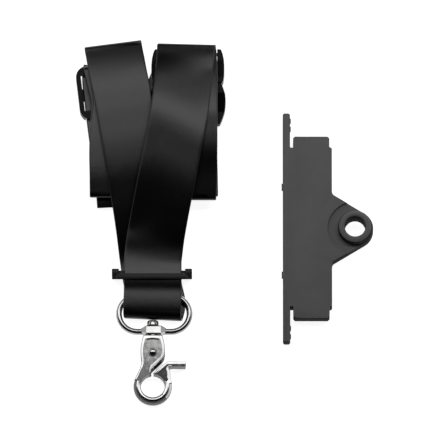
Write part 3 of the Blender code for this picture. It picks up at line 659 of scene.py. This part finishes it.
# the upper half of the ring bar's section: (share of half width, outwards, and share of half height)
RING_SECTION = ((-1.0, 0.0), (-1.0, 0.6), (-0.96, 0.8), (-0.86, 0.94), (-0.7, 1.0), (0.1, 1.0), (0.25, 0.96),
                (0.36, 0.9), (0.66, 0.7), (0.86, 0.5), (0.96, 0.28), (1.0, 0.0))


def ring_bar(start, end, steps, shade_outside=True):
    """The hook's ring between two angles: flat inside, with a slope outside that can get painted shade."""
    middle, half = (RING_OUTER + RING_INNER) / 2, (RING_OUTER - RING_INNER) / 2
    section = [(u * half, v * HOOK_HALF) for u, v in RING_SECTION]
    section += [(u, -v) for u, v in reversed(section[1:-1])]
    stations = []
    for i in range(steps + 1):
        a = math.radians(start + (end - start) * i / steps)
        stations.append([((middle + u) * math.cos(a), (middle + u) * math.sin(a), v) for u, v in section])
    bar = swept(stations)
    for polygon in bar.polygons:
        # painted shade: the outer slope gets the darker wall material
        if shade_outside and polygon.center.xy.length > middle * MM and abs(polygon.normal.z) < 0.85:
            polygon.material_index = 2
    return bar


def hook_casting():
    outline = (
        [(-4.1, 22.6), (-4.5, 21.0), (-5.1, 18.5), (-5.3, 16.3), (-5.25, 13.5), (-4.95, 11.2), (-5.0, 9.6),
         (-5.5, 7.8), (-6.2, 6.3)]
        + arc((0, 0), RING_OUTER, 146, 163, 5) + arc((0, 0), RING_INNER, 163, 97, 18)
        + [(-0.7, 6.6), (4.3, 11.6), (4.95, 12.6), (5.25, 14.2), (5.3, 16.3), (5.1, 18.5), (4.5, 21.0),
           (4.1, 22.6)])
    hook = Solid("hook_casting", prism(outline, -HOOK_HALF, HOOK_HALF), NICKEL_SET)
    # painted shade: the bevels and steep faces get the darker wall material, which draws grey outlines
    hook.bevel(0.75, 6, 30).paint_wall_shade(0.94, 2)
    hook.join(ring_bar(157, 314, 52))
    pocket = (
        [(-3.3, 20.6), (-2.9, 21.0), (-1.3, 21.3), (0.0, 21.4), (1.3, 21.3), (2.9, 21.0), (3.3, 20.4),
         (3.8, 18.2), (4.15, 16.3), (4.1, 14.4), (3.4, 12.9), (-0.9, 8.9), (-1.4, 7.4), (-1.3, 5.6)]
        + arc((0, 0), 4.9, 108, 150, 10) + arc((0, 0), 6.2, 164, 166, 1) + arc((0, 0), 7.5, 158, 146, 4)
        + [(-5.2, 6.8), (-4.45, 8.2), (-4.0, 9.7), (-3.95, 11.3), (-4.2, 13.5), (-4.25, 16.3), (-3.9, 18.5)])
    hook.cut(prism(pocket, HOOK_HALF - 0.5, HOOK_HALF + 1, index=1))
    # painted shadow: the crescent's sunk floor gets the darker wall material, for the shadow under the
    # neck's rim
    shadow_crescent = arc((0, 12.6), 8.6, 108, 72, 10) + arc((0, 10.6), 10.1, 75, 105, 10)
    hook.cut(prism(shadow_crescent, HOOK_HALF - 1.0, HOOK_HALF + 1, index=2))
    back = [(-x, y) for x, y in pocket if y > 12.0]
    hook.cut(prism(back, -HOOK_HALF - 1, -HOOK_HALF + 0.5, index=1))
    slot = 1.3
    hook.cut(prism([PIVOT] + arc(PIVOT, 11, -98, 10, 16), -slot, slot, index=1))
    hook.cut(cylinder((*PIVOT, 0), 3.5, 2 * slot, index=1), cylinder((*PIVOT, 0), 1.1, 9))
    hook.cut(cylinder((0, 21.6, 0), 1.52, 4.4, "Y"))
    # painted shade on the steep walls of the cuts as well
    hook.paint_wall_shade(0.3, 2)
    hook.place("hook_body", "hook", "nickel", RING_CENTRE)


def gate():
    start = -43.5
    outline = (
        arc((0, 0), RING_OUTER, 6, 22, 5)
        + [(7.45, 6.2), (6.95, 7.3), (7.1, 8.1), (7.7, 8.5), (8.4, 8.62), (14.1, 8.5), (14.35, 9.1),
           (14.35, 10.2), (14.1, 10.65), (6.8, 10.75), (6.1, 10.5), (0.6, 6.0), (0.25, 5.6)]
        + arc((0, 0), RING_INNER, 86, 6, 22))
    lever = Solid("gate_lever", prism(outline, -HOOK_HALF + 0.1, HOOK_HALF - 0.1),
                  (LOOKS["nickel"], GATE_SHADED_CAST_NICKEL, NICKEL_WALL_SHADE))
    # painted shade: the bevels and steep faces get the darker wall material
    lever.bevel(0.65, 6, 30).paint_wall_shade(0.94, 2)
    lever.join(ring_bar(start, 12, 18, shade_outside=False))
    pocket = (
        [(15.5, 9.6), (6.6, 9.6), (6.0, 9.4), (1.9, 5.6), (1.6, 4.6)] + arc((0, 0), 5.3, 66, 24, 10)
        + [(5.85, 1.6)] + arc((0, 0), 7.2, 20, 29, 3)
        + [(6.3, 5.9), (5.85, 7.3), (6.2, 8.5), (7.4, 9.0), (8.6, 8.9), (15.5, 8.0)])
    lever.cut(prism(pocket, HOOK_HALF - 0.65, HOOK_HALF + 1, index=1, slope=0.085))
    low, high = -1.1, 0.1
    pivot, reach = Vector(PIVOT), Vector((4.0, 7.2))
    side = (reach - pivot).orthogonal().normalized() * 1.8
    tongue = [tuple(p) for p in (pivot + side, pivot - side, reach - side, reach + side)]
    lever.join(prism(tongue, low, high), cylinder((*PIVOT, (low + high) / 2), 2.5, high - low))
    lever.cut(cylinder((*PIVOT, 0), 1.1, 10))
    # painted shade on the steep walls of the cuts as well
    lever.paint_wall_shade(0.3, 2)
    lever.place("trigger", "trigger", "nickel", RING_CENTRE)


def faceted_ring(x, half_y, half_z, facet):
    """A rectangle across X with its four corners cut off."""
    quarter = [(half_y, half_z - facet), (half_y - facet, half_z)]
    upper = quarter + [(-u, v) for u, v in reversed(quarter)]
    return [(x, u, v) for u, v in upper + [(-u, -v) for u, v in upper]]


def loop_and_barrel():
    """The oval wire swells into a faceted barrel, which is bored for the rivet."""
    radius, straight, wire, offset = 8.05, 7.3, 1.3, 0.6
    path = (arc((offset + straight, 0), radius, -90, 90, 36)
            + arc((offset - straight, 0), radius, 90, 270, 36))
    stations = []
    for i, (x, y) in enumerate(path):
        (xa, ya), (xb, yb) = path[i - 1], path[(i + 1) % len(path)]
        along = Vector((xb - xa, yb - ya)).normalized()
        out = Vector((along.y, -along.x))
        stations.append([(x + out.x * u, y + out.y * u, v) for u, v in arc((0, 0), wire, 0, 360, 24)[:-1]])
    # painted shade: the wire's steep sides get the darker wall material
    loop = Solid("oval_loop", swept(stations, closed=True), NICKEL_SET).paint_wall_shade(0.3, 2)
    shape = ((-5.4, 1.1, 1.1, 0.4), (-4.9, 1.3, 1.4, 0.5), (-4.1, 1.6, 2.0, 0.5), (-3.2, 1.88, 2.6, 0.45))
    stations = [faceted_ring(*row) for row in shape]
    stations += [faceted_ring(-x, *rest) for x, *rest in reversed(shape)]
    barrel = swept(stations)
    barrel.transform(Matrix.Translation(Vector((0.3, BARREL_Y - LOOP_Y, 0)) * MM))
    block = Solid("barrel", barrel, NICKEL_SET)
    loop.join(block.item.data)
    bpy.data.objects.remove(block.item)
    loop.cut(cylinder((0, BARREL_Y - LOOP_Y, 0), 1.6, 8, "Y"))
    loop.place("swivel_loop", "loop", "nickel", (LANYARD_X, LOOP_Y, HOOK_HALF), smooth=28)


PLASTIC_PAIR = (KEEPER_PLASTIC, BLACK_WALL_SHADE)


def keeper_ladder():
    """Two rungs and a raised front bar, with rounded edges, between two end blocks."""
    half, thick, height, slot = 17.4, 1.3, 8.4, 14.4
    ladder = Solid("keeper_ladder", box((-half, -thick, 0), (half, thick, height)), PLASTIC_PAIR)
    ladder.bevel(0.3, 2)
    ladder.cut(box((-slot, -3, 0.7), (slot, 3, 2.8)), box((-slot, -3, 5.2), (slot, 3, 12)))
    bar = Solid("front_bar", box((-slot - 1, -3.3, 6.9), (slot + 1, -0.75, height)), PLASTIC_PAIR)
    bar.bevel(0.5, 4)
    ladder.join(bar.item.data)
    bpy.data.objects.remove(bar.item)
    # painted shade: the steep walls get the plastic copy that reflects no light
    ladder.paint_wall_shade(0.5, 1)
    ladder.place("strap_keeper", "keeper", "black_plastic", (-31.4, -24.0, 0))


def rivets():
    profile = [(0, -54.6), (1.4, -54.6), (1.4, -52.0), (2.2, -51.95), (2.35, -51.8), (2.35, -51.55),
               (2.2, -51.4), (1.4, -51.35), (1.4, -47.1), (2.3, -47.1), (2.5, -46.9), (2.5, -45.5),
               (2.35, -45.1), (2.0, -44.8), (1.2, -44.64), (0, -44.6)]
    swivel = Solid("swivel_rivet_turned", turned(profile), NICKEL_SET)
    # painted shade: the rivet's steep sides get the darker wall material
    swivel.paint_wall_shade(0.6, 2)
    swivel.place("swivel_rivet", "hook", "nickel", (LANYARD_X, 0, HOOK_HALF))
    face = HOOK_HALF - 0.5
    profile = [(0, -face - 0.35), (1.5, -face - 0.35), (1.7, -face - 0.1), (1.0, -face - 0.1),
               (1.0, face + 0.05), (1.9, face + 0.05), (1.9, face + 0.35), (1.72, face + 0.75),
               (1.3, face + 1.03), (0.85, face + 1.2), (0.4, face + 1.27), (0, face + 1.28)]
    pin = Solid("trigger_rivet_turned", turned(profile, "Z"), NICKEL_SET)
    pin.place("trigger_rivet", "hook", "nickel", (LANYARD_X, RING_CENTRE[1] + PIVOT[1], HOOK_HALF))


hook_casting()
gate()
loop_and_barrel()
rivets()
keeper_ladder()


# ---------------------------------------------------------------- bracket

BRACKET_PAIR = (LOOKS["bracket_plastic"], BRACKET_WALL_SHADE)
BRACKET_Y = -3.35
LUG = (56.8, -0.55)


def moulded_bracket():
    """A shallow open-backed box with a long rail down one side and a lug on the other."""
    height, wall, face = 6.6, 1.8, 2.2
    plate_half, tab_half, rail_half, root_half = 35.9, 40.9, 51.4, 15.0
    upper = [
        (46.8, plate_half - 0.5), (46.4, plate_half), (45.7, plate_half + 0.2), (45.7, tab_half - 0.8),
        (44.9, tab_half), (30.7, tab_half), (29.9, tab_half - 0.8), (29.9, plate_half), (28.6, plate_half),
        (28.6, rail_half - 0.6), (28.0, rail_half), (26.0, rail_half), (25.4, rail_half - 0.6)]
    away = Vector((46.8, root_half)) - Vector((LUG[0], 0.0))
    tangent = math.degrees(math.atan2(away.y, away.x) - math.acos(7.9 / away.length))
    root = [(46.8, root_half + 1.2), (47.3, root_half + 0.1)]
    outline = ([(x, -y) for x, y in reversed(upper)] + [(x, -y + LUG[1]) for x, y in root]
               + arc(LUG, 7.9, -tangent, tangent, 32) + [(x, y + LUG[1]) for x, y in reversed(root)] + upper)
    body = Solid("moulded_bracket", prism(outline, 0, height), BRACKET_PAIR)
    body.bevel(0.28, 2, 60)
    body.cut(
        box((28.6, -plate_half + wall, -1), (45.0, plate_half - wall, height - face)),
        box((29.9 + wall, -tab_half + wall, -1), (45.7 - wall, tab_half - wall, height - face)),
        box((46.9, -30, -1), (73, 30, 1.2)))
    body.cut(cylinder((*LUG, height), 11.9, 1.8, sides=96), cylinder((*LUG, 0), 5.75, 30, sides=64))
    for x, y in ((32.2, 11.1 - LUG[1]), (34.8, 16.9)):
        body.cut(cylinder((x, y - 27.4, height), 0.9, 0.12, sides=32))
    body.join(
        box((24.9, 17.9, 0.6), (26.4, 20.5, 3.0)), box((24.9, -21.8, 0.6), (26.4, -19.2, 3.0)))
    for y in (45.0, 48.7):
        for side in (-1, 1):
            body.join(cylinder((28.35, side * y, height / 2), 0.6, height - 1, sides=16))
    # painted shade: the steep walls get the much darker wall material
    body.paint_wall_shade(0.4, 1)
    body.place("bracket_body", "bracket", "bracket_plastic", (0, BRACKET_Y, 0), smooth=30)


def eyelet_bushing():
    """The flanged ring in the lug. Its bore and its rim get the same painted shade as the bracket's walls.
    """
    profile = ((4.45, 1.2), (5.6, 1.2), (5.6, 5.8), (7.35, 5.8), (7.35, 8.2), (7.25, 8.7), (7.0, 9.15),
               (6.6, 9.45), (6.1, 9.6), (5.3, 9.6), (4.85, 9.5), (4.55, 9.2), (4.45, 8.7))
    stations = []
    for x, y in arc((0, 0), 1.0, 0, 360, 96)[:-1]:
        stations.append([(radius * x, radius * y, height) for radius, height in profile])
    # painted shade on the steep faces of the bore and rim
    ring = Solid("eyelet_bushing", swept(stations, closed=True), BRACKET_PAIR).paint_wall_shade(0.6, 1)
    ring.place("lug_bushing", "bracket", "bracket_plastic", (LUG[0], BRACKET_Y + LUG[1], 0), smooth=40)


moulded_bracket()
eyelet_bushing()


# ---------------------------------------------------------------- studio

FLOOR_DROP = 0.0002  # below the object, so that no faces meet
KEY_TILT = math.radians(21)  # of the light, from straight above towards +Y
KEY_DISTANCE = 2.0


def area_light(name, place, target, size, power):
    data = bpy.data.lights.new(name, "AREA")
    data.shape = "RECTANGLE"
    data.size, data.size_y = size
    data.energy = power
    made = bpy.data.objects.new(name, data)
    bpy.context.scene.collection.objects.link(made)
    made.location = place
    made.rotation_mode = "QUATERNION"
    made.rotation_quaternion = (Vector(target) - Vector(place)).to_track_quat("-Z", "Y")


def studio_world():
    """Bright low walls beyond the object, dim ones on the near side, and a dark ceiling."""
    world = bpy.data.worlds.new("studio")
    world.use_nodes = True
    tree = world.node_tree
    place = tree.nodes.new("ShaderNodeTexCoord")
    parts = tree.nodes.new("ShaderNodeSeparateXYZ")
    tree.links.new(place.outputs["Generated"], parts.inputs[0])
    shades = []
    for axis, stops in (("Z", ((0.0, 1.0), (0.3, 0.8), (0.6, 0.03), (0.9, 0.008))),
                        ("Y", ((0.0, 0.13), (0.38, 0.2), (0.62, 1.0)))):
        ramp = tree.nodes.new("ShaderNodeValToRGB")
        band = ramp.color_ramp
        band.elements[0].position, band.elements[1].position = stops[0][0], stops[-1][0]
        band.elements[0].color = (*[stops[0][1]] * 3, 1.0)
        band.elements[1].color = (*[stops[-1][1]] * 3, 1.0)
        for position, shade in stops[1:-1]:
            band.elements.new(position).color = (shade, shade, shade, 1.0)
        source = parts.outputs[axis]
        if axis == "Y":  # from -1 to 1, taken to the ramp's 0 to 1
            half = tree.nodes.new("ShaderNodeMath")
            half.operation = "MULTIPLY_ADD"
            half.inputs[1].default_value = 0.5
            half.inputs[2].default_value = 0.5
            tree.links.new(source, half.inputs[0])
            source = half.outputs[0]
        tree.links.new(source, ramp.inputs["Fac"])
        shades.append(ramp.outputs["Color"])
    both = tree.nodes.new("ShaderNodeMix")
    both.data_type, both.blend_type = "RGBA", "MULTIPLY"
    both.inputs["Factor"].default_value = 1.0
    tree.links.new(shades[0], both.inputs["A"])
    tree.links.new(shades[1], both.inputs["B"])
    tree.links.new(both.outputs["Result"], tree.nodes["Background"].inputs["Color"])
    tree.nodes["Background"].inputs["Strength"].default_value = 1.0
    return world


def studio():
    scene = bpy.context.scene
    scene.view_settings.view_transform = "Standard"
    scene.world = studio_world()
    bm = bmesh.new()
    bmesh.ops.create_grid(bm, x_segments=1, y_segments=1, size=3.0)
    mesh = bpy.data.meshes.new("floor")
    bm.to_mesh(mesh)
    bm.free()
    mesh.materials.append(floor_look())
    floor = bpy.data.objects.new("floor", mesh)
    floor.location.z = -FLOOR_DROP
    scene.collection.objects.link(floor)
    place = (0.0, KEY_DISTANCE * math.sin(KEY_TILT), KEY_DISTANCE * math.cos(KEY_TILT))
    area_light("key", place, (0.0, 0.0, 0.0), size=(2.6, 0.66), power=12.5)


def camera():
    data = bpy.data.cameras.new("camera")
    data.lens, data.sensor_width = CAMERA_LENS, CAMERA_SENSOR
    distance = PICTURE_WIDTH / 2 / (CAMERA_SENSOR / 2 / CAMERA_LENS)
    made = bpy.data.objects.new("camera", data)
    bpy.context.scene.collection.objects.link(made)
    back = Vector((0.0, -math.cos(CAMERA_ELEVATION), math.sin(CAMERA_ELEVATION)))
    made.location = CAMERA_TARGET + back * distance
    made.rotation_mode = "QUATERNION"
    made.rotation_quaternion = (-back).to_track_quat("-Z", "Y")
    data.clip_start, data.clip_end = 0.1, 20.0
    bpy.context.scene.camera = made


studio()
camera()
